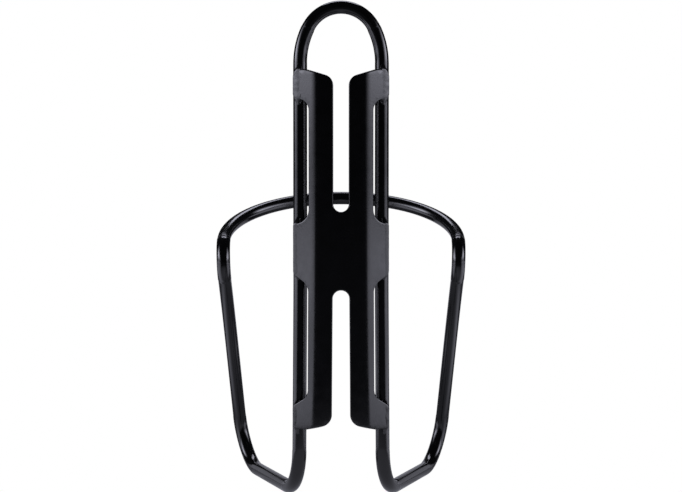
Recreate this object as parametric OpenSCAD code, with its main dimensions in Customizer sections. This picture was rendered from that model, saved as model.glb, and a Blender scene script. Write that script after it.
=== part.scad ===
// Water bottle cage for a bicycle frame: a bent round-bar cradle on a pressed mounting plate.
// +Z is up, along the bottle. +Y points from the bicycle frame to the bottle. The origin is on
// the face of the plate that lies against the bicycle, midway between its two bolts.

/* [Rod] */
// Diameter of the round bar, over its coat
rod_d = 5.2; // [4.6:0.1:5.5]
// Half the distance between the two uprights, centre to centre, at the top and middle tabs
upright_x = 15.2; // [15:0.1:15.4]
// How much further apart each upright stands at its foot
foot_spread = 0.5; // [0.2:0.1:0.6]

/* [Top loop] */
// Height of the loop's centreline at its crown
loop_top = 90.3; // [88.3:0.5:92.3]
// Radius of the crown of the loop
crown_r = 13.6; // [13:0.2:14.4]
// Radius of the two flatter sides of the loop
loop_side_r = 30; // [26:1:34]

/* [Base and arms] */
// Depth of the base rods' centreline below the origin
base_drop = 90.8; // [89.8:0.5:91.3]
// Radius of the four bends at the base
base_bend_r = 16; // [12:0.5:17]
// Half the spread of the base rods at their front corners
front_x = 40; // [38.4:0.2:41]
// How far the front corners stand in front of the uprights
front_reach = 79; // [79:0.5:82]
// Half the spread of the arms where they curve round the bottle
arm_x = 45.4; // [45:0.1:45.7]
// How far that curve stands in front of the uprights
arm_reach = 56.5; // [55:0.5:56.5]
// Depth of that curve below the origin
arm_drop = 25; // [25:0.5:28]
// Radius of that curve
arm_r = 70; // [50:5:70]
// Radius of the shoulder bend at the top of each arm
shoulder_r = 9; // [8:0.5:9]
// Straight from the corner of the shoulder bend to the weld that joins the hoop
shoulder_run = 15; // [14.9:0.1:15]

/* [Front hoop] */
// Centreline radius of the hoop
hoop_r = 46.5; // [46:0.1:47.5]
// How far the hoop's two ends stand in front of the uprights
hoop_reach = 47.2; // [47:0.2:48]
// Height of the hoop's two ends
hoop_height = 2.1; // [2.1:0.1:2.6]
// Rise of the hoop towards its front, in degrees
hoop_tilt = 19.7; // [19.3:0.1:20.2]

/* [Mounting plate] */
// Thickness of the sheet
sheet_t = 1.5; // [1.2:0.1:1.6]
// Half the width of the flat strip, to the middle of each fold
fold_x = 9; // [8.6:0.1:9.4]
// Slope of the side flanges, in degrees
flange_angle = 34; // [30:1:36]
// Inside radius of the two folds
fold_inner_r = 6.7; // [5:0.1:7.2]
// Half the width of the upper bolt slot
upper_slot_r = 2.85; // [2.75:0.05:3.1]
// Half the width of the lower bolt slot at its closed end
lower_slot_r = 3.05; // [2.9:0.05:3.3]
// Height of the closed end of the upper slot, and depth of the closed end of the lower slot
slot_gap = 14.5; // [13:0.1:15]
// How much wider each side of the lower slot is at its open end
slot_flare = 0.35; // [0:0.05:0.4]

/* [Welds] */
// Height that the tab welds stand proud of the rod
weld_proud = 0.25; // [0.2:0.05:0.4]
// Diameter of the dressed butt welds at the shoulders
shoulder_weld_d = 5.5; // [5.4:0.1:6]
// Length of the dressed butt welds at the shoulders
shoulder_weld_l = 1.4; // [1:0.1:1.6]

/* [Hidden] */
$fn = 64;
coat = [0.07, 0.07, 0.08];
weld_coat = [0.11, 0.11, 0.12];

rod_r = rod_d / 2;
foot_x = upright_x + foot_spread;
spread_z = -15;                  // the uprights start to spread here
spread_r = 400;                  // radius of that very slight bend
lower_tab_z = -62;               // mid-height of the lower tabs
spread_angle = atan(foot_spread / (base_drop + spread_z));

// The uprights lie against the bottle side of the tabs at the lower pair, where they stand widest.
lower_rod_x = upright_x + (spread_z - lower_tab_z) * tan(spread_angle);
rod_y = (lower_rod_x - fold_x) * tan(flange_angle) + (sheet_t + rod_r) / cos(flange_angle);

// The loop is an arch of three arcs, drawn as two corners and an apex with their bend radii.
loop_spring_z = loop_top - crown_r
    - sqrt(pow(loop_side_r - crown_r, 2) - pow(loop_side_r - upright_x, 2));
loop_lean = acos((loop_side_r - upright_x) / (loop_side_r - crown_r));
loop_corner_z = loop_spring_z + loop_side_r * tan(loop_lean / 2);
loop_apex_z = loop_corner_z + upright_x / tan(loop_lean);
loop_apex_r = crown_r - 0.05;    // leaves a hair of straight between the crown and the sides

// The hoop's ends point along this direction, and each weld sits on its line.
hoop_dir = [0, cos(hoop_tilt), sin(hoop_tilt)];
weld_at = [hoop_r, rod_y + hoop_reach, hoop_height];
shoulder_corner = weld_at - shoulder_run * hoop_dir;

// Corners of the right half of the rod, from the loop down to the shoulder, with bend radii.
right_corners = [
    [[upright_x, rod_y, loop_corner_z], loop_side_r],
    [[upright_x, rod_y, spread_z], spread_r],
    [[foot_x, rod_y, -base_drop], base_bend_r],
    [[front_x, rod_y + front_reach, -base_drop], base_bend_r],
    [[arm_x, rod_y + arm_reach, -arm_drop], arm_r],
    [shoulder_corner, shoulder_r],
    [weld_at - shoulder_weld_l / 2 * hoop_dir, 0]
];

function mirrored(corner) = [[-corner[0].x, corner[0].y, corner[0].z], corner[1]];
function reversed(list) = [for (i = [len(list) - 1:-1:0]) list[i]];
function unit(v) = v / norm(v);

// Angle turned at corner i of a bent bar, and the straight lost to the bend on each side of it.
function turn(path, i) = let (
        before = unit(path[i][0] - path[i - 1][0]),
        after = unit(path[i + 1][0] - path[i][0]))
    atan2(norm(cross(before, after)), before * after);
function setback(path, i) =
    i == 0 || i == len(path) - 1 ? 0 : path[i][1] * tan(turn(path, i) / 2);

// A round bar bent at each corner [point, radius] of its path. The straights are a hair thinner
// than the bends and run a little way into them, so that the two always join.
join_depth = 0.5;
join_step = 0.05;
module bent_bar(path, d) {
    last = len(path) - 2;
    for (i = [0:last]) {
        dir = unit(path[i + 1][0] - path[i][0]);
        from = setback(path, i) - (i == 0 ? 0 : join_depth);
        to = setback(path, i + 1) - (i == last ? 0 : join_depth);
        length = norm(path[i + 1][0] - path[i][0]) - from - to;
        along(path[i][0] + from * dir, dir) cylinder(h = length, d = d - join_step);
    }
    for (i = [1:last]) bend(path, i, d);
}

// Places its children at a point, with their Z axis along a direction.
module along(point, dir) {
    side = unit(cross(abs(dir.x) < 0.9 ? [1, 0, 0] : [0, 1, 0], dir));
    other = cross(dir, side);
    multmatrix([
        [side.x, other.x, dir.x, point.x],
        [side.y, other.y, dir.y, point.y],
        [side.z, other.z, dir.z, point.z],
        [0, 0, 0, 1]]) children();
}

// One bend of a bar: part of a torus that starts where the straight before it ends.
module bend(path, i, d) {
    r = path[i][1];
    before = unit(path[i][0] - path[i - 1][0]);
    after = unit(path[i + 1][0] - path[i][0]);
    axis = unit(cross(before, after));
    out = cross(before, axis);
    centre = path[i][0] - setback(path, i) * before - r * out;
    multmatrix([
        [out.x, before.x, axis.x, centre.x],
        [out.y, before.y, axis.y, centre.y],
        [out.z, before.z, axis.z, centre.z],
        [0, 0, 0, 1]])
    rotate_extrude(angle = turn(path, i)) translate([r, 0]) circle(d = d);
}

// The bar that forms the loop, the uprights, the base rods, the arms and the shoulders.
module frame_rod() {
    path = concat(
        reversed([for (corner = right_corners) mirrored(corner)]),
        [[[0, rod_y, loop_apex_z], loop_apex_r]],
        right_corners);
    color(coat) bent_bar(path, rod_d);
}

// The half circle of bar round the front of the bottle, rising towards its middle.
module front_hoop() {
    color(coat)
    translate([0, weld_at.y, weld_at.z] + shoulder_weld_l / 2 * hoop_dir)
    rotate([hoop_tilt, 0, 0])
    rotate_extrude(angle = 180) translate([hoop_r, 0]) circle(r = rod_r);
}

// The weld between a shoulder and the hoop, ground nearly flush. side is -1 or 1.
module shoulder_weld(side) {
    color(weld_coat)
    along([side * weld_at.x, weld_at.y, weld_at.z] - shoulder_weld_l / 2 * hoop_dir, hoop_dir)
    cylinder(h = shoulder_weld_l, d = shoulder_weld_d);
}

// Edges of the plate, in the view from the bicycle side. x is measured out from the middle.
flange_x = 11.9;                 // edge of the flange beside a window
lower_flange_x = 12.3;
tab_x = 17.7;                    // outer edge of the tabs
lower_tab_x = 17.9;
plate_top = 68.5;                // height of the sloping top edge at the outer edge of the tabs
plate_bottom = -66.4;
upper_slot_z = slot_gap + upper_slot_r;
lower_slot_z = -slot_gap - lower_slot_r;

// Right half of the plate's outline: [x, z, corner radius], anticlockwise from the lower slot.
plate_corners = [
    [lower_slot_r, lower_slot_z, 0],
    [lower_slot_r + slot_flare, -64.1, 4.5],
    [12.8, plate_bottom, 0],
    [lower_tab_x, plate_bottom, 1.4],
    [lower_tab_x, -57.8, 0.8],
    [lower_flange_x, -53.9, 4.5],
    [lower_flange_x - 0.2, -12.7, 5],
    [tab_x, -8.6, 0.8],
    [tab_x, 10.2, 0.8],
    [flange_x, 10.5, 5],
    [flange_x, 56.3, 4.4],
    [tab_x, 56.4, 1.5],
    [tab_x, plate_top, 3.8],
    [upper_slot_r, 64.1, 4.1],
    [upper_slot_r, upper_slot_z, 0]
];

// Points of an outline whose corners [x, y, radius] are rounded by their own radii.
arc_steps = 8;
function rounded(corners) = [for (i = [0:len(corners) - 1]) each corner_points(
    corners[(i + len(corners) - 1) % len(corners)], corners[i],
    corners[(i + 1) % len(corners)])];
function corner_points(before, corner, after) = let (
        p = [corner[0], corner[1]],
        u = unit([before[0], before[1]] - p),
        v = unit([after[0], after[1]] - p),
        half = acos(u * v) / 2,
        centre = p + unit(u + v) * corner[2] / sin(half),
        from = p + u * corner[2] / tan(half) - centre,
        to = p + v * corner[2] / tan(half) - centre,
        swing = 180 - 2 * half)
    corner[2] == 0 ? [p] : [for (k = [0:arc_steps])
        centre + (from * sin(swing * (1 - k / arc_steps)) + to * sin(swing * k / arc_steps))
            / sin(swing)];

// The right half's corners and their mirror images, all the way round.
function both_sides(corners) =
    concat(corners, reversed([for (c = corners) [-c[0], c[1], c[2]]]));

module plate_outline() {
    difference() {
        polygon(rounded(both_sides(plate_corners)));
        translate([0, upper_slot_z]) circle(r = upper_slot_r);
        translate([0, lower_slot_z]) circle(r = lower_slot_r);
    }
}

// The plate's section from above: a flat strip, two folds and two flanges sloping to the rods.
module plate_section() {
    run = tab_x + 2 - fold_x;
    rise = run * tan(flange_angle);
    inner_fold_x = fold_x - sheet_t * tan(flange_angle / 2);
    polygon(rounded(both_sides([
        [fold_x, 0, fold_inner_r + sheet_t],
        [fold_x + run, rise, 0],
        [fold_x + run, rise + sheet_t / cos(flange_angle), 0],
        [inner_fold_x, sheet_t, fold_inner_r]])));
}

module mounting_plate() {
    height = 2 * max(plate_top, -plate_bottom) + 10;
    depth = 12;
    color(coat)
    intersection() {
        translate([0, 0, -height / 2]) linear_extrude(height = height) plate_section();
        rotate([90, 0, 0]) translate([0, 0, -depth]) linear_extrude(height = 2 * depth)
            plate_outline();
    }
}

// The weld along the outer edge of a tab. It fills the wedge between the sheet and the rod and
// wraps the rod's outer side. side is -1 or 1, x is the rod's place, edge_x the tab's edge,
// ends the weld's lowest and highest points, and proud how far it stands out from the rod.
module tab_weld(side, x, edge_x, ends, proud, lean = 0) {
    far = 10;
    length = ends[1] - ends[0];
    edge = edge_x - x;
    sheet_gap = rod_r + (lower_rod_x - x) * sin(flange_angle);
    function sheet_y(at) = at * tan(flange_angle) - sheet_gap / cos(flange_angle);
    color(weld_coat)
    mirror([side < 0 ? 1 : 0, 0, 0])
    translate([x, rod_y, (ends[0] + ends[1]) / 2])
    rotate([0, lean, 0])
    translate([0, 0, -length / 2])
    linear_extrude(height = length)
    difference() {
        translate([-2 * proud, -2 * proud]) circle(r = rod_r + 3 * proud);
        circle(r = rod_r);
        // it ends at the line where the sheet touches the rod, and a little past the rod's side
        rotate([0, 0, flange_angle]) translate([-far, -far]) square([far, 2 * far]);
        rotate([0, 0, weld_wrap]) translate([-far, 0]) square([2 * far, far]);
        polygon([[0, sheet_y(0)], [edge, sheet_y(edge)], [edge, -far], [0, -far]]);
    }
}

weld_wrap = 12;                  // how far round the rod's outer side the welds reach, degrees
upper_weld = [58.4, 64.4];       // lowest and highest points of each weld
middle_weld = [-8, 9.6];
lower_weld = [-65, -58.6];

module upper_tab_weld(side) tab_weld(side, upright_x, tab_x, upper_weld, weld_proud);
module middle_tab_weld(side) tab_weld(side, upright_x, tab_x, middle_weld, weld_proud / 2);
module lower_tab_weld(side)
    tab_weld(side, lower_rod_x, lower_tab_x, lower_weld, weld_proud, -spread_angle);

mounting_plate();
frame_rod();
front_hoop();
shoulder_weld(-1);  // shoulder_weld_left
shoulder_weld(1);  // shoulder_weld_right
upper_tab_weld(-1);  // upper_tab_weld_left
upper_tab_weld(1);  // upper_tab_weld_right
middle_tab_weld(-1);  // middle_tab_weld_left
middle_tab_weld(1);  // middle_tab_weld_right
lower_tab_weld(-1);  // lower_tab_weld_left
lower_tab_weld(1);  // lower_tab_weld_right
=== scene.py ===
"""A black powder-coated water bottle cage of bent round bar on a pressed plate, in a white studio."""

import math
from collections import namedtuple

import bmesh
import bpy
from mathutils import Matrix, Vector, noise
from mathutils.geometry import delaunay_2d_cdt

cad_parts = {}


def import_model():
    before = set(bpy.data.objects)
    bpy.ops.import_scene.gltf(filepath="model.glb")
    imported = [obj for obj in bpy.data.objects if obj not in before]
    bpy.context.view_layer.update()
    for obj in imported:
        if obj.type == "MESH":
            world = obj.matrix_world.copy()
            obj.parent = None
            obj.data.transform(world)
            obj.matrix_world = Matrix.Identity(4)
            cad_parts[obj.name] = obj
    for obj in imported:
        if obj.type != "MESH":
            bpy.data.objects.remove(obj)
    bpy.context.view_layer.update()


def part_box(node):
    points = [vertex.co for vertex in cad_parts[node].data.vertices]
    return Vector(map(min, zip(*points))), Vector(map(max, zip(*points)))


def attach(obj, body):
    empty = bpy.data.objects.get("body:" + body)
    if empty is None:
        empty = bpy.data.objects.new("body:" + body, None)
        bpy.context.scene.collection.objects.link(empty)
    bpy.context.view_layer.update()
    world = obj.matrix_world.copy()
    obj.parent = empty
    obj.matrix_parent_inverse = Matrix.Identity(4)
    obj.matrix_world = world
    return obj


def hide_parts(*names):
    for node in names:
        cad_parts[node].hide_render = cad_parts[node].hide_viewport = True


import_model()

# Everything below is drawn in millimetres, in the CAD model's frame, and made into metres last.
MM = 0.001


# ---------------------------------------------------------------- the design's own dimensions

ROD_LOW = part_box("frame_rod")[0] / MM   # lowest corner of the bar's CAD node

ROD_R = 2.6                         # the round bar
UPRIGHT_X = 15.2                    # half the distance between the uprights
FOOT_SPREAD = 0.5                   # how much further out each upright stands at its foot
SPREAD_Z, SPREAD_R = -15.0, 400.0   # where the uprights start to spread, and that slight bend
LOOP_TOP, BASE_Z = 90.3, -90.8      # heights of the bar's axis at the crown and at the base
ROD_Y = ROD_LOW.y + ROD_R
CROWN_R, LOOP_SIDE_R = 13.6, 30.0   # the three arcs of the top loop
CROWN_SLACK = 0.05                  # taken off the crown's bend, so that its arc is clear of the others
BASE_BEND_R = 16.0
FRONT_CORNER = Vector((40.0, ROD_Y + 79.0, BASE_Z))
ARM_CORNER, ARM_R = Vector((45.4, ROD_Y + 56.5, -25.0)), 70.0
SHOULDER_R, SHOULDER_RUN = 9.0, 15.0
HOOP_R, HOOP_TILT = 46.5, math.radians(19.7)
HOOP_DIR = Vector((0, math.cos(HOOP_TILT), math.sin(HOOP_TILT)))
WELD_AT = Vector((HOOP_R, ROD_Y + 47.2, 2.1))
WELD_L = 1.4

SHEET_T = 1.5
FOLD_X, FOLD_R = 9.0, 8.2           # middle of each fold, and its radius on the bicycle's side
FLANGE = math.radians(34.0)
FOLD_START = FOLD_X - FOLD_R * math.tan(FLANGE / 2)
FOLD_WIDTH = FOLD_R * math.sin(FLANGE)
UPPER_SLOT_R, LOWER_SLOT_R = 2.85, 3.05
SLOT_GAP = 14.5                     # height of the slots' closed ends over and under the middle
TAB_X, LOWER_TAB_X = 17.7, 17.9     # outer edges of the tabs
TOP_SLOPE = 0.296                   # slope of the plate's top edges
EDGE_R = 0.5                        # rounding of the sheet's deburred and coated edges

# Foot and top of each tab, each with the radius of its outer corner.
UPPER_TAB = ((56.4, 1.5), (68.5, 3.8))
MIDDLE_TAB = ((-8.6, 0.8), (10.2, 0.8))
LOWER_TAB = ((-66.4, 1.4), (-57.8, 0.8))
LOWER_TAB_Z = -62.0                 # height at which the rod's place behind the lower tab is taken


# ---------------------------------------------------------------- paths and tubes

BAR_SIDES = 48
BEND_STEP, BAR_STEP = 0.5, 1.0      # distance between points round a bend, and on a straight


def arc(before, corner, after, radius, step, least):
    """Points of the arc that rounds a corner, about a step apart, in at least so many steps."""
    to_before = (before - corner).normalized()
    to_after = (after - corner).normalized()
    half = math.acos(max(-1, min(1, to_before.dot(to_after)))) / 2
    swing = math.pi - 2 * half
    centre = corner + (to_before + to_after).normalized() * radius / math.sin(half)
    start = corner + to_before * radius / math.tan(half) - centre
    end = corner + to_after * radius / math.tan(half) - centre
    count = max(least, math.ceil(radius * swing / step))
    points = []
    for i in range(count + 1):
        from_start = math.sin(swing * (1 - i / count))
        from_end = math.sin(swing * i / count)
        points.append(centre + (start * from_start + end * from_end) / math.sin(swing))
    return points


def bent_path(corners, step):
    """Points along a bar that is bent at each corner (point, bend radius)."""
    points = [corners[0][0]]
    for (before, _), (corner, radius), (after, _) in zip(corners, corners[1:], corners[2:]):
        points += arc(before, corner, after, radius, step, 3)
    points.append(corners[-1][0])
    return points


def evenly(points, step):
    """The same line with a point about every step, straights included."""
    out = [points[0]]
    for a, b in zip(points, points[1:]):
        count = max(1, round((b - a).length / step))
        out += [a.lerp(b, i / count) for i in range(1, count + 1)]
    return out


def tangents(points):
    """Unit direction of the line at each of its points."""
    ahead = points[1:] + [points[-1] * 2 - points[-2]]
    behind = [points[0] * 2 - points[1]] + points[:-1]
    return [(a - b).normalized() for a, b in zip(ahead, behind)]


def rings(points, radius_at):
    """Rings of points round a line, without twist. radius_at(i, direction) is the radius there."""
    directions = tangents(points)
    side = directions[0].orthogonal().normalized()
    out = []
    for i, (point, direction) in enumerate(zip(points, directions)):
        side = (side - direction * side.dot(direction)).normalized()
        other = direction.cross(side)
        ring = []
        for k in range(BAR_SIDES):
            angle = 2 * math.pi * k / BAR_SIDES
            outward = side * math.cos(angle) + other * math.sin(angle)
            ring.append(point + outward * radius_at(i, outward))
        out.append(ring)
    return out


def skin(loops, closed_ends=True):
    """Vertices and faces of the surface through a list of loops with equal numbers of points."""
    sides = len(loops[0])
    vertices = [p for loop in loops for p in loop]
    faces = []
    for i in range(len(loops) - 1):
        for k in range(sides):
            a, b = i * sides + k, i * sides + (k + 1) % sides
            faces.append((a, b, b + sides, a + sides))
    if closed_ends:
        last = (len(loops) - 1) * sides
        faces.append(tuple(reversed(range(sides))))
        faces.append(tuple(range(last, last + sides)))
    return vertices, faces


def piece(name, vertices, faces, material, nodes):
    """A finished piece of the cage that stands for CAD nodes."""
    mesh = bpy.data.meshes.new(name)
    mesh.from_pydata([p * MM for p in vertices], [], faces)
    cleaned = bmesh.new()
    cleaned.from_mesh(mesh)
    bmesh.ops.remove_doubles(cleaned, verts=cleaned.verts, dist=0.002 * MM)
    bmesh.ops.recalc_face_normals(cleaned, faces=cleaned.faces)
    cleaned.to_mesh(mesh)
    cleaned.free()
    mesh.polygons.foreach_set("use_smooth", [True] * len(mesh.polygons))
    mesh.materials.append(material)
    obj = bpy.data.objects.new(name, mesh)
    bpy.context.scene.collection.objects.link(obj)
    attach(obj, "root")
    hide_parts(*nodes)
    return obj


def weigh_normals(obj):
    """Makes wide faces look flat and leaves the shading to the narrow ones round their edges."""
    modifier = obj.modifiers.new("weighted_normals", "WEIGHTED_NORMAL")
    modifier.mode = "FACE_AREA"
    modifier.weight = 100


# ---------------------------------------------------------------- materials

# Noise scales over a metre. The two bumps also have a depth in metres.
TONE_SCALE, GLOSS_SCALE = 160, 320
SLOW_SCALE, SLOW_DEPTH = 110, 0.00012
PEEL_SCALE, PEEL_DEPTH = 1500, 0.00002


def noise_node(nodes, links, coordinates, scale, detail):
    """Output of a noise texture."""
    texture = nodes.new("ShaderNodeTexNoise")
    texture.inputs["Scale"].default_value = scale
    texture.inputs["Detail"].default_value = detail
    links.new(coordinates, texture.inputs["Vector"])
    return texture.outputs["Fac"]


def math_node(nodes, links, operation, *values):
    """Output of a math node. Each value is a socket or a float."""
    node = nodes.new("ShaderNodeMath")
    node.operation = operation
    for socket, value in zip(node.inputs, values):
        if isinstance(value, float):
            socket.default_value = value
        else:
            links.new(value, socket)
    return node.outputs["Value"]


def map_range(nodes, links, value, source, target, shape="LINEAR"):
    """Output of a node that maps one range of values to another and stays within it."""
    node = nodes.new("ShaderNodeMapRange")
    node.interpolation_type = shape
    node.inputs["From Min"].default_value, node.inputs["From Max"].default_value = source
    node.inputs["To Min"].default_value, node.inputs["To Max"].default_value = target
    links.new(value, node.inputs["Value"])
    return node.outputs["Result"]


def bump(nodes, links, height, distance, strength, under=None):
    """Normal of a bump, on top of the one under it if that is given."""
    node = nodes.new("ShaderNodeBump")
    node.inputs["Strength"].default_value = strength
    node.inputs["Distance"].default_value = distance
    links.new(height, node.inputs["Height"])
    if under:
        links.new(under, node.inputs["Normal"])
    return node.outputs["Normal"]


def powder_coat(name, dark, light, roughness, peel, pitting):
    """Black powder coat: fine orange peel, a slower unevenness, and slight changes of tone and gloss."""
    material = bpy.data.materials.new(name)
    material.use_nodes = True
    nodes, links = material.node_tree.nodes, material.node_tree.links
    shader = nodes["Principled BSDF"]
    where = nodes.new("ShaderNodeTexCoord").outputs["Object"]

    tone = noise_node(nodes, links, where, TONE_SCALE, 3)
    colours = nodes.new("ShaderNodeValToRGB")
    first, last = colours.color_ramp.elements
    first.position, last.position = 0.3, 0.75
    first.color = (*dark, 1)
    last.color = (*light, 1)
    links.new(tone, colours.inputs["Fac"])
    links.new(colours.outputs["Color"], shader.inputs["Base Color"])

    gloss = noise_node(nodes, links, where, GLOSS_SCALE, 4)
    links.new(map_range(nodes, links, gloss, (0.3, 0.7), roughness), shader.inputs["Roughness"])
    shader.inputs["IOR"].default_value = 1.5

    slow = noise_node(nodes, links, where, SLOW_SCALE, 1)
    slow_normal = bump(nodes, links, slow, SLOW_DEPTH, pitting)
    fine = noise_node(nodes, links, where, PEEL_SCALE, 2)
    fine_normal = bump(nodes, links, fine, PEEL_DEPTH, peel, slow_normal)
    links.new(fine_normal, shader.inputs["Normal"])
    return material


WELD_DARK, WELD_LIGHT = (0.003, 0.003, 0.0034), (0.006, 0.006, 0.0066)
COAT = powder_coat(
    "powder_coat", (0.0016, 0.0017, 0.0019), (0.0032, 0.0032, 0.0037), (0.11, 0.18), 0.4, 0.08)
WELD_COAT = powder_coat("weld_coat", WELD_DARK, WELD_LIGHT, (0.16, 0.28), 0.7, 0.3)
DRESSED_WELD_COAT = powder_coat(
    "dressed_weld_coat", WELD_DARK, WELD_LIGHT, (0.28, 0.5), 1.0, 0.5)


# ---------------------------------------------------------------- the bent bar and the hoop

# Shares of the radius lost and gained at a bend, for a bend radius equal to the bar's, and limits.
FLATTENING, FLATTEST = 1.6, 0.07
WIDENING, WIDEST = 1.2, 0.035


def rod_corners():
    """Corners of the bar with their bend radii, from the left shoulder over the crown to the right."""
    side = LOOP_SIDE_R - CROWN_R
    spring_z = LOOP_TOP - CROWN_R - math.sqrt(side ** 2 - (LOOP_SIDE_R - UPRIGHT_X) ** 2)
    lean = math.acos((LOOP_SIDE_R - UPRIGHT_X) / side)
    corner_z = spring_z + LOOP_SIDE_R * math.tan(lean / 2)
    apex = Vector((0, ROD_Y, corner_z + UPRIGHT_X / math.tan(lean)))
    right = [
        (Vector((UPRIGHT_X, ROD_Y, corner_z)), LOOP_SIDE_R),
        (Vector((UPRIGHT_X, ROD_Y, SPREAD_Z)), SPREAD_R),
        (Vector((UPRIGHT_X + FOOT_SPREAD, ROD_Y, BASE_Z)), BASE_BEND_R),
        (FRONT_CORNER, BASE_BEND_R),
        (ARM_CORNER, ARM_R),
        (WELD_AT - HOOP_DIR * SHOULDER_RUN, SHOULDER_R),
        (WELD_AT, 0),
    ]
    left = [(Vector((-p.x, p.y, p.z)), r) for p, r in reversed(right)]
    return left + [(apex, CROWN_R - CROWN_SLACK)] + right


def bar(points):
    """A round bar along a line. Bending has flattened its section and made it wider sideways."""
    directions = tangents(points)
    bends = []
    for i, direction in enumerate(directions):
        a, b = max(i - 1, 0), min(i + 1, len(points) - 1)
        curve = (directions[b] - directions[a]) / (points[b] - points[a]).length * ROD_R
        bends.append((curve, direction.cross(curve)))

    def radius_at(i, outward):
        curve, sideways = bends[i]
        flat = min(FLATTEST, FLATTENING * curve.dot(outward) ** 2)
        wide = min(WIDEST, WIDENING * sideways.dot(outward) ** 2)
        return ROD_R * (1 - flat + wide)

    return skin(rings(points, radius_at))


def frame_rod():
    """The bent bar: top loop, uprights, base rods, arms and shoulders."""
    points = evenly(bent_path(rod_corners(), BEND_STEP), BAR_STEP)
    vertices, faces = bar(points)
    piece("bent_frame_rod", vertices, faces, COAT, ["frame_rod"])


def front_hoop():
    """The half circle of bar round the front of the bottle."""
    centre = Vector((0, WELD_AT.y, WELD_AT.z)) + HOOP_DIR * WELD_L / 2
    count = 240
    points = []
    for i in range(count + 1):
        angle = math.pi * i / count
        points.append(centre + Vector((HOOP_R * math.cos(angle), 0, 0))
                      + HOOP_DIR * HOOP_R * math.sin(angle))
    vertices, faces = bar(points)
    piece("front_hoop_bar", vertices, faces, COAT, ["front_hoop"])


# ---------------------------------------------------------------- the mounting plate

EDGE_STEPS = 5                      # steps of each rounded edge of the sheet
FOLD_STEPS, FLANGE_COLUMNS = 8, 6   # rows of points across a fold, and beyond it
GRID = 1.6                          # distance between the other rows of points
CORNER_STEP, OUTLINE_STEP = 0.35, 0.8   # distance between the outline's points
SHORTEST_SIDE = 0.02                # shorter sides of the outline are left out
GRID_MARGIN = 0.3                   # how clear of the outline the grid stays, in grid steps


def plate_corners():
    """Right half of the plate's outline: (x, z, corner radius), anticlockwise from the lower slot."""
    lower_edge = LOWER_TAB[0][0]
    return [
        (LOWER_SLOT_R, -SLOT_GAP, LOWER_SLOT_R),
        (3.4, -64.1, 4.5),              # mouth of the lower slot
        (12.8, lower_edge, 0),
        (LOWER_TAB_X, *LOWER_TAB[0]),
        (LOWER_TAB_X, *LOWER_TAB[1]),
        (12.3, -53.9, 4.5),             # window between the lower tab and the middle one
        (12.1, -12.7, 5.0),
        (TAB_X, *MIDDLE_TAB[0]),
        (TAB_X, *MIDDLE_TAB[1]),
        (11.9, 10.5, 5.0),              # window between the middle tab and the upper one
        (11.9, 56.3, 4.4),
        (TAB_X, *UPPER_TAB[0]),
        (TAB_X, *UPPER_TAB[1]),
        (UPPER_SLOT_R, 64.1, 4.1),      # mouth of the upper slot
        (UPPER_SLOT_R, SLOT_GAP, UPPER_SLOT_R),
    ]


def rounded(corners, step):
    """Points of a closed outline whose corners (x, z, radius) are rounded by their own radii."""
    behind = corners[-1:] + corners[:-1]
    ahead = corners[1:] + corners[:1]
    out = []
    for before, (x, z, radius), after in zip(behind, corners, ahead):
        corner = Vector((x, z))
        if radius == 0:
            out.append(corner)
        else:
            out += arc(Vector(before[:2]), corner, Vector(after[:2]), radius, step, 4)
    return out


def closed_evenly(points, step):
    """A closed outline with a point about every step and none doubled."""
    out = []
    for a, b in zip(points, points[1:] + points[:1]):
        length = (b - a).length
        if length < SHORTEST_SIDE:
            continue
        count = max(1, round(length / step))
        out += [a.lerp(b, i / count) for i in range(count)]
    return out


def inset(outline, distance):
    """The outline moved inwards (it runs anticlockwise)."""
    out = []
    count = len(outline)
    for i, point in enumerate(outline):
        along = outline[(i + 1) % count] - outline[i - 1]
        inward = Vector((-along.y, along.x)).normalized()
        out.append(point + inward * distance)
    return out


def fold_angle(x):
    """Slope of the sheet at a distance from the middle: 0 on the flat strip, FLANGE outside."""
    across = abs(x) - FOLD_START
    return math.asin(max(0, min(math.sin(FLANGE), across / FOLD_R)))


def on_sheet(x, z, depth):
    """A point of the folded sheet, depth below the face on the bicycle's side."""
    angle = fold_angle(x)
    beyond = max(0, abs(x) - FOLD_START - FOLD_WIDTH)
    y = FOLD_R * (1 - math.cos(angle)) + beyond * math.tan(FLANGE)
    side = math.copysign(1, x)
    return Vector((x - side * depth * math.sin(angle), y + depth * math.cos(angle), z))


def widened(point):
    """An outline's point moved out over a flange, so that the square-cut edge is widest there."""
    return Vector((point.x + math.copysign(EDGE_R * math.sin(fold_angle(point.x)), point.x), point.y))


def well_inside(point, outline, margin):
    """True if a point is inside a closed outline and at least margin from its points."""
    inside = False
    for a, b in zip(outline, outline[1:] + outline[:1]):
        if (a.y > point.y) != (b.y > point.y):
            if point.x < a.x + (b.x - a.x) * (point.y - a.y) / (b.y - a.y):
                inside = not inside
        if (a - point).length < margin:
            return False
    return inside


def sheet_face(outline, depth):
    """Triangles that fill an outline on one face of the sheet, with rows of points at the folds."""
    fold_end = FOLD_START + FOLD_WIDTH
    columns = [i * GRID for i in range(int(FOLD_START / GRID))]
    columns += [FOLD_START + (fold_end - FOLD_START) * i / FOLD_STEPS for i in range(FOLD_STEPS + 1)]
    columns += [fold_end + GRID * (i + 1) for i in range(FLANGE_COLUMNS)]
    columns = sorted({-c for c in columns} | set(columns))
    low = min(p.y for p in outline)
    high = max(p.y for p in outline)
    levels = int((high - low) / GRID)
    inside = []
    for x in columns:
        for i in range(1, levels):
            inside.append(Vector((x, low + (high - low) * i / levels)))
    keep = [p for p in inside if well_inside(p, outline, GRID * GRID_MARGIN)]
    edges = [(i, (i + 1) % len(outline)) for i in range(len(outline))]
    points, _, triangles, *_ = delaunay_2d_cdt(outline + keep, edges, [], 1, 1e-6)
    return [on_sheet(p.x, p.y, depth) for p in points], triangles


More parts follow.
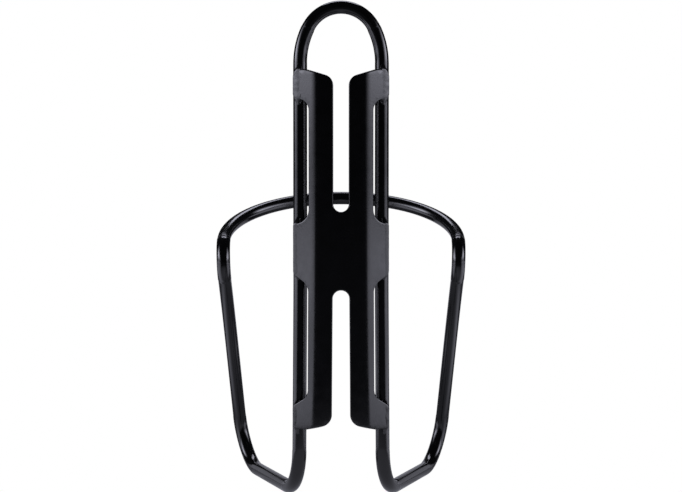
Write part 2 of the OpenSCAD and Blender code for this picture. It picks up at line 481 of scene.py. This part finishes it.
def sheet_edge(outline, share, far_face):
    """A loop on the sheet's rounded edge, at a share of the way from a face round to the cut."""
    angle = math.pi / 2 * share
    depth = EDGE_R * (1 - math.cos(angle))
    if far_face:
        depth = SHEET_T - depth
    line = inset(outline, EDGE_R * (1 - math.sin(angle)))
    return [on_sheet(p.x, p.y, depth) for p in line]


def mounting_plate():
    """The pressed sheet, with both faces and the rounded edge between them."""
    right = plate_corners()
    corners = right + [(-x, z, r) for x, z, r in reversed(right)]
    outline = [widened(p) for p in closed_evenly(rounded(corners, CORNER_STEP), OUTLINE_STEP)]
    shares = [i / EDGE_STEPS for i in range(EDGE_STEPS + 1)]
    loops = [sheet_edge(outline, share, False) for share in shares]
    loops += [sheet_edge(outline, 1 - share, True) for share in shares]
    vertices, faces = skin(loops, closed_ends=False)
    for depth in (0, SHEET_T):
        points, triangles = sheet_face(inset(outline, EDGE_R), depth)
        start = len(vertices)
        vertices += points
        faces += [tuple(start + i for i in t) for t in triangles]
    weigh_normals(piece("pressed_plate", vertices, faces, COAT, ["mounting_plate"]))


# ---------------------------------------------------------------- welds

# A tab weld is a skin round the rod. Its angles are in radians, from the sheet's own normal on the
# bicycle's side towards the outside of the cage. Its heights are distances from the rod's axis.
WELD_OUTER = math.radians(108)      # where the skin ends on the outside of the rod
SKIN_UNDER = 0.6                    # angle it goes on under the sheet, from the end of its lap
PAST_FOOT, PAST_TOP = 3.4, 2.4      # how far it runs past the tab's foot and top
SKIN_DEPTH = 0.6                    # how deep its hidden side lies in the rod
SKIN_COLUMNS, SKIN_STEP = 54, 0.3   # its steps round the rod, and their length along it
WELD_PROUD = 0.06                   # how far it stands over the outer edge of the tabs
EDGE_MARGIN, EDGE_COVER = 0.25, 0.55    # added over a tab's cut edge: along the sheet, to the height
STEEPEST = 0.2                      # least cosine that the height over the tab's face is divided by
BLEND = 8.0                         # sharpness of the change from the tab's face to its cut edge
RIPPLE = 0.16                       # unevenness of the weld
RIPPLE_ROUND, RIPPLE_ALONG = 2.2, 0.55  # its scale, per radian round the rod and per mm along it
TAPER, EDGE_TAPER = 1.2, 1.4        # how far the weld slopes down past a tab's ends, and more at its edge
TAPER_INSIDE = 0.3                  # how far inside the tab's ends that slope starts
SHEET_SINK = 0.1                    # how far it is sunk under the sheet
FACE_SINK = 0.02                    # how far it is sunk on the face, for the square of the way outwards
FACE_FROM, FACE_TO = 1.5, 0.2       # that way starts so far inside the axis, and ends at this angle
ROD_SINK, INNER_SINK = 0.06, 0.08   # sunk in the rod where the weld has no height, and at its start

# The shoulder welds: half the length of a bead, its height, its unevenness and its sunk ends.
BEAD_HALF_L, BEAD_PROUD, BEAD_UNEVEN, BEAD_SINK = 1.5, 0.07, 0.9, 0.03

# x of the rod's axis and of the tab's outer edge, the tab's foot and top, the slope of its top
# edge, how far over the tab the weld shows (radians), and the seed of its unevenness.
Tab = namedtuple("Tab", "rod_x edge_x ends top_slope lap seed")


def smooth(low, high, value):
    """0 at low and 1 at high, with a smooth change between them."""
    t = max(0, min(1, (value - low) / (high - low)))
    return t * t * (3 - 2 * t)


def rounded_end(end, radius, edge_x, x):
    """Height of a tab's top at x, which falls at the rounded outer corner. A foot's radius is negative."""
    past = max(0, min(abs(radius), x - edge_x + abs(radius)))
    return end - math.copysign(abs(radius) - math.sqrt(radius ** 2 - past ** 2), radius)


def weld_cover(tab, angle, z):
    """Height of a tab weld over the tab's face and round its cut edge, before it tapers off."""
    sheet = (ROD_Y - (tab.rod_x - FOLD_X) * math.tan(FLANGE)) * math.cos(FLANGE)
    cut = (tab.edge_x - tab.rod_x - sheet * math.sin(FLANGE)) / math.cos(FLANGE) + EDGE_MARGIN
    cover = (sheet + WELD_PROUD) / max(STEEPEST, math.cos(angle))
    if angle > 0:
        limit = cut / math.sin(angle) + EDGE_COVER
        cover = -math.log(math.exp(-BLEND * cover) + math.exp(-BLEND * limit)) / BLEND
    ripple = noise.noise(Vector((angle * RIPPLE_ROUND, z * RIPPLE_ALONG, tab.seed))) * RIPPLE
    return max(cover + ripple * (0.25 + 0.75 * smooth(-0.3, 0.8, angle)), ROD_R)


def end_taper(tab, x, z):
    """Share of the weld's height that is left near the tab's foot and top, and none past them."""
    (foot, foot_r), (top, top_r) = tab.ends
    run = TAPER + EDGE_TAPER * smooth(tab.edge_x - 4.5, tab.edge_x - 1.0, x)
    at_top = rounded_end(top, top_r, tab.edge_x, x) - tab.top_slope * (tab.edge_x - x)
    at_foot = rounded_end(foot, -foot_r, tab.edge_x, x)
    under_top = smooth(at_top + run, at_top - TAPER_INSIDE, z)
    over_foot = smooth(at_foot - run, at_foot + TAPER_INSIDE, z)
    return min(under_top, over_foot)


def weld_height(tab, angle, z):
    """Height of a tab weld's surface."""
    inner = -tab.lap - SKIN_UNDER
    cover = weld_cover(tab, angle, z)
    under_sheet = SHEET_SINK * (1 - smooth(-tab.lap - 0.4, -tab.lap, angle))
    outward = max(0, cover * math.sin(angle) + FACE_FROM)
    on_face = FACE_SINK * outward ** 2 if angle < FACE_TO else 0
    over = cover - ROD_R - under_sheet - on_face
    over *= end_taper(tab, tab.rod_x + cover * math.sin(angle + FLANGE), z)
    over *= smooth(WELD_OUTER, WELD_OUTER - 0.9, angle) * smooth(inner, inner + 0.25, angle)
    sunk = ROD_SINK * (1 - smooth(0, 0.25, over))
    sunk += INNER_SINK * (1 - smooth(inner, inner + 0.14, angle))
    return ROD_R + over - sunk


def round_rod(tab, side, angle, height, z):
    """A point at an angle and a height round the rod behind a tab. side is 1 on the right."""
    along, off = height * math.sin(angle), height * math.cos(angle)
    x = tab.rod_x + along * math.cos(FLANGE) + off * math.sin(FLANGE)
    y = ROD_Y + along * math.sin(FLANGE) - off * math.cos(FLANGE)
    return Vector((side * x, y, z))


def tab_weld(name, side, tab):
    """The weld that blends a tab into the rod: a skin over the tab's outer edge and the rod's side."""
    inner = -tab.lap - SKIN_UNDER
    step = (WELD_OUTER - inner) / SKIN_COLUMNS
    angles = [inner + step * i for i in range(SKIN_COLUMNS + 1)]
    (foot, _), (top, _) = tab.ends
    low, high = foot - PAST_FOOT, top + PAST_TOP
    rows = round((high - low) / SKIN_STEP)
    loops = []
    for j in range(rows + 1):
        z = low + (high - low) * j / rows
        seen = [round_rod(tab, side, a, weld_height(tab, a, z), z) for a in angles]
        hidden = [round_rod(tab, side, a, ROD_R - SKIN_DEPTH, z) for a in reversed(angles)]
        loops.append(seen + hidden)
    vertices, faces = skin(loops)
    piece(name + "_bead", vertices, faces, WELD_COAT, [name])


def shoulder_weld(name, side, seed):
    """A butt weld round the bar, ground nearly flush, with a slightly uneven crown."""
    middle = Vector((side * WELD_AT.x, WELD_AT.y, WELD_AT.z))
    count = 24
    points = [middle + HOOP_DIR * BEAD_HALF_L * (2 * i / count - 1) for i in range(count + 1)]

    def radius_at(i, outward):
        t = 2 * i / count - 1
        crown = BEAD_PROUD * (math.cos(math.pi * t) + 1) / 2
        spot = Vector((outward.x * 2.2, outward.y * 2.2 + seed, outward.z * 2.2 + t * 1.4))
        return ROD_R - BEAD_SINK + crown * (1 + BEAD_UNEVEN * noise.noise(spot * 1.3))

    vertices, faces = skin(rings(points, radius_at))
    piece(name + "_bead", vertices, faces, DRESSED_WELD_COAT, [name])


def welds():
    """The six tab welds and the two shoulder welds."""
    lower_x = UPRIGHT_X + FOOT_SPREAD * (SPREAD_Z - LOWER_TAB_Z) / (SPREAD_Z - BASE_Z)
    levels = [
        ("upper", UPRIGHT_X, TAB_X, UPPER_TAB, TOP_SLOPE, 0.3),
        ("middle", UPRIGHT_X, TAB_X, MIDDLE_TAB, 0, 0.1),
        ("lower", lower_x, LOWER_TAB_X, LOWER_TAB, 0, 0.1),
    ]
    for i, (level, *shape) in enumerate(levels):
        for k, (hand, side) in enumerate((("left", -1), ("right", 1))):
            tab_weld(f"{level}_tab_weld_{hand}", side, Tab(*shape, 7.3 * i + 3.1 * k))
    shoulder_weld("shoulder_weld_left", -1, 4.0)
    shoulder_weld("shoulder_weld_right", 1, 9.0)


# ---------------------------------------------------------------- camera, stage and light

CAMERA_AWAY, CAMERA_DOWN = 750.0, math.radians(2.27)    # distance from the uprights, downward tilt
CAMERA_Z = 1.6                      # height of the point that it is turned to
LENS, SENSOR = 106.1, 36.0          # focal length and sensor width

FLOOR_HALF = 3.0                    # half the floor's width, in metres
FLOOR_GAP = 0.05                    # how far it lies under the cage, in millimetres

# The floor's glow, as the cage mirrors it. Its distances are in metres from the cage's middle.
NEAR_FLOOR, FAR_FLOOR = 0.6, 0.045  # brightness under the cage and far from it
NEAR_FADE = (0.06, 0.30)            # from where to where it changes between those two
FRONT_SHARE, FRONT_FADE = 0.5, (0.0, 0.05)  # share left on the bottle's side, and where it drops
WEDGE_Y = 0.06                      # y at which the side glow comes in to the middle
WEDGE_BEHIND = -2.0                 # how fast it draws back behind that, where in front it is 1
SIDE_EDGE = (0.02, 0.11)            # width over which it grows, from the edge of the wedge
SIDE_FLOOR, SIDE_FADE = (1.8, 1.25), (0.3, 0.8)     # its brightness close by and farther away
SIDE_NEAR, SIDE_RISE = 0.6, (0.12, 0.30)    # share of it right beside the cage, and where it grows

DIM_WORLD = 0.015                   # brightness of the surroundings as the cage mirrors them

# The side lights. Parts of their width and height go from 0 to 1.
SIDE_LIGHT = 8.0                    # brightest value
RIGHT_SHARE = 0.9                   # the right light's brightness as a share of the left one's
LOW_SHARE, LIGHT_RISE = 0.17, (0.29, 0.48)  # share left near the floor, and heights where it grows
LIGHT_FALL = (1, 0.55)              # heights between which it fades towards the top
TOP_LEAN, LEAN_RISE = 0.45, (0.35, 0.75)    # how far the inner edge is drawn back, and heights
LIGHT_TINT, FLOOR_TINT = (0.97, 0.975, 1.13), (0.97, 0.98, 1.14)


def camera():
    """A long lens far from the uprights, looking very slightly down."""
    data = bpy.data.cameras.new("camera")
    data.sensor_width, data.lens = SENSOR, LENS
    data.clip_start, data.clip_end = 0.05, 20.0
    obj = bpy.data.objects.new("camera", data)
    target = Vector((0, ROD_Y, CAMERA_Z))
    away = Vector((0, -math.cos(CAMERA_DOWN), math.sin(CAMERA_DOWN)))
    obj.location = (target + away * CAMERA_AWAY) * MM
    obj.rotation_euler = (math.pi / 2 - CAMERA_DOWN, 0, 0)
    bpy.context.scene.collection.objects.link(obj)
    bpy.context.scene.camera = obj


def world():
    """White where the camera sees it, nearly dark where the cage mirrors it."""
    data = bpy.data.worlds.new("studio")
    bpy.context.scene.world = data
    data.use_nodes = True
    nodes, links = data.node_tree.nodes, data.node_tree.links
    dim, white = nodes["Background"], nodes.new("ShaderNodeBackground")
    dim.inputs["Color"].default_value = (0.9, 0.92, 1.0, 1)
    dim.inputs["Strength"].default_value = DIM_WORLD
    white.inputs["Color"].default_value = (1, 1, 1, 1)
    white.inputs["Strength"].default_value = 1.0
    mix = nodes.new("ShaderNodeMixShader")
    links.new(nodes.new("ShaderNodeLightPath").outputs["Is Camera Ray"], mix.inputs["Fac"])
    links.new(dim.outputs["Background"], mix.inputs[1])
    links.new(white.outputs["Background"], mix.inputs[2])
    links.new(mix.outputs["Shader"], nodes["World Output"].inputs["Surface"])


def middle_glow(nodes, links, distance, y):
    """Brightness of the floor close to the cage, dimmer on the bottle's side."""
    near = map_range(nodes, links, distance, NEAR_FADE, (NEAR_FLOOR, FAR_FLOOR))
    front = map_range(nodes, links, y, FRONT_FADE, (1, FRONT_SHARE))
    return math_node(nodes, links, "MULTIPLY", near, front)


def side_glow(nodes, links, distance, x, y):
    """Brightness of the floor to the left and right, outside a wedge in front and one behind."""
    sideways = math_node(nodes, links, "ABSOLUTE", x)
    ahead = math_node(nodes, links, "SUBTRACT", WEDGE_Y, y)
    behind = math_node(nodes, links, "MULTIPLY", ahead, WEDGE_BEHIND)
    wedge = math_node(nodes, links, "MAXIMUM", ahead, behind)
    beside = math_node(nodes, links, "SUBTRACT", sideways, wedge)
    share = map_range(nodes, links, beside, SIDE_EDGE, (0, 1), "SMOOTHSTEP")
    level = map_range(nodes, links, distance, SIDE_FADE, SIDE_FLOOR)
    rise = map_range(nodes, links, distance, SIDE_RISE, (SIDE_NEAR, 1))
    grown = math_node(nodes, links, "MULTIPLY", rise, level)
    return math_node(nodes, links, "MULTIPLY", share, grown)


def floor_glow(nodes, links):
    """Brightness of the floor as the cage mirrors it: lit at the sides, dark towards the camera."""
    where = nodes.new("ShaderNodeTexCoord").outputs["Object"]
    length = nodes.new("ShaderNodeVectorMath")
    length.operation = "LENGTH"
    links.new(where, length.inputs[0])
    distance = length.outputs["Value"]
    place = nodes.new("ShaderNodeSeparateXYZ")
    links.new(where, place.inputs["Vector"])
    x, y = place.outputs["X"], place.outputs["Y"]
    middle = middle_glow(nodes, links, distance, y)
    side = side_glow(nodes, links, distance, x, y)
    return math_node(nodes, links, "ADD", middle, side)


def floor_material():
    """Plain white to the camera, a graded glow to the cage, and clear from below."""
    material = bpy.data.materials.new("floor")
    material.use_nodes = True
    nodes, links = material.node_tree.nodes, material.node_tree.links
    nodes.remove(nodes["Principled BSDF"])

    white, mirrored = nodes.new("ShaderNodeEmission"), nodes.new("ShaderNodeEmission")
    white.inputs["Strength"].default_value = 1.0
    mirrored.inputs["Color"].default_value = (*FLOOR_TINT, 1)
    links.new(floor_glow(nodes, links), mirrored.inputs["Strength"])
    by_ray, by_side = nodes.new("ShaderNodeMixShader"), nodes.new("ShaderNodeMixShader")
    links.new(nodes.new("ShaderNodeLightPath").outputs["Is Camera Ray"], by_ray.inputs["Fac"])
    links.new(mirrored.outputs["Emission"], by_ray.inputs[1])
    links.new(white.outputs["Emission"], by_ray.inputs[2])
    clear = nodes.new("ShaderNodeBsdfTransparent")
    links.new(nodes.new("ShaderNodeNewGeometry").outputs["Backfacing"], by_side.inputs["Fac"])
    links.new(by_ray.outputs["Shader"], by_side.inputs[1])
    links.new(clear.outputs["BSDF"], by_side.inputs[2])
    links.new(by_side.outputs["Shader"], nodes["Material Output"].inputs["Surface"])
    return material


def floor():
    """A plain floor just under the cage."""
    mesh = bpy.data.meshes.new("floor")
    half, z = FLOOR_HALF, (ROD_LOW.z - FLOOR_GAP) * MM
    corners = [(-half, -half, z), (half, -half, z), (half, half, z), (-half, half, z)]
    mesh.from_pydata(corners, [], [(0, 1, 2, 3)])
    mesh.materials.append(floor_material())
    obj = bpy.data.objects.new("floor", mesh)
    bpy.context.scene.collection.objects.link(obj)


def area_light(name, azimuth, elevation, distance, size, radiance):
    """A rectangular light that faces the cage and that the camera doesn't see.

    azimuth is in degrees from the camera's side, to the right. elevation is in degrees, and
    distance and size (width, height) are in metres.
    """
    data = bpy.data.lights.new(name, "AREA")
    data.shape = "RECTANGLE"
    data.size, data.size_y = size
    data.energy = radiance * size[0] * size[1] * math.pi
    data.color = LIGHT_TINT
    obj = bpy.data.objects.new(name, data)
    a, e = math.radians(azimuth), math.radians(elevation)
    way = Vector((math.sin(a) * math.cos(e), -math.cos(a) * math.cos(e), math.sin(e)))
    obj.location = way * distance
    obj.rotation_mode = "QUATERNION"
    obj.rotation_quaternion = way.to_track_quat("Z", "Y")
    obj.visible_camera = False
    bpy.context.scene.collection.objects.link(obj)
    return obj


def graded(light, inner_edge, outer_edge):
    """Fades a side light in and out across its width, and down towards the floor and the top."""
    light.data.use_nodes = True
    nodes, links = light.data.node_tree.nodes, light.data.node_tree.links
    place = nodes.new("ShaderNodeSeparateXYZ")
    links.new(nodes.new("ShaderNodeNewGeometry").outputs["Parametric"], place.inputs["Vector"])
    across, up = place.outputs["X"], place.outputs["Y"]
    drawn_back = map_range(nodes, links, up, LEAN_RISE, (0, TOP_LEAN))
    if inner_edge[0] < inner_edge[1]:
        drawn_back = math_node(nodes, links, "MULTIPLY", drawn_back, -1.0)
    leaning = math_node(nodes, links, "ADD", across, drawn_back)
    inner = map_range(nodes, links, leaning, inner_edge, (0, 1), "SMOOTHSTEP")
    outer = map_range(nodes, links, across, outer_edge, (0, 1), "SMOOTHSTEP")
    low = map_range(nodes, links, up, LIGHT_RISE, (LOW_SHARE, 1), "SMOOTHSTEP")
    high = map_range(nodes, links, up, LIGHT_FALL, (0, 1), "SMOOTHSTEP")
    width = math_node(nodes, links, "MULTIPLY", inner, outer)
    height = math_node(nodes, links, "MULTIPLY", low, high)
    strength = math_node(nodes, links, "MULTIPLY", width, height)
    links.new(strength, nodes["Emission"].inputs["Strength"])


def lights():
    """Two large side lights, one behind and above the cage, and a weak one low behind it."""
    left = area_light("left_softbox", -71, 15, 1.0, (1.3, 1.1), SIDE_LIGHT)
    right = area_light("right_softbox", 68, 15, 1.0, (1.3, 1.1), RIGHT_SHARE * SIDE_LIGHT)
    graded(left, (1, 0.4), (0, 0.22))
    graded(right, (0, 0.6), (1, 0.78))
    area_light("top_softbox", 180, 53, 1.0, (0.6, 0.28), 4.0)
    area_light("low_glow", 180, -9, 0.3, (0.6, 0.09), 0.4)


camera()
world()
floor()
lights()
frame_rod()
front_hoop()
mounting_plate()
welds()
bpy.context.scene.view_settings.view_transform = "Standard"
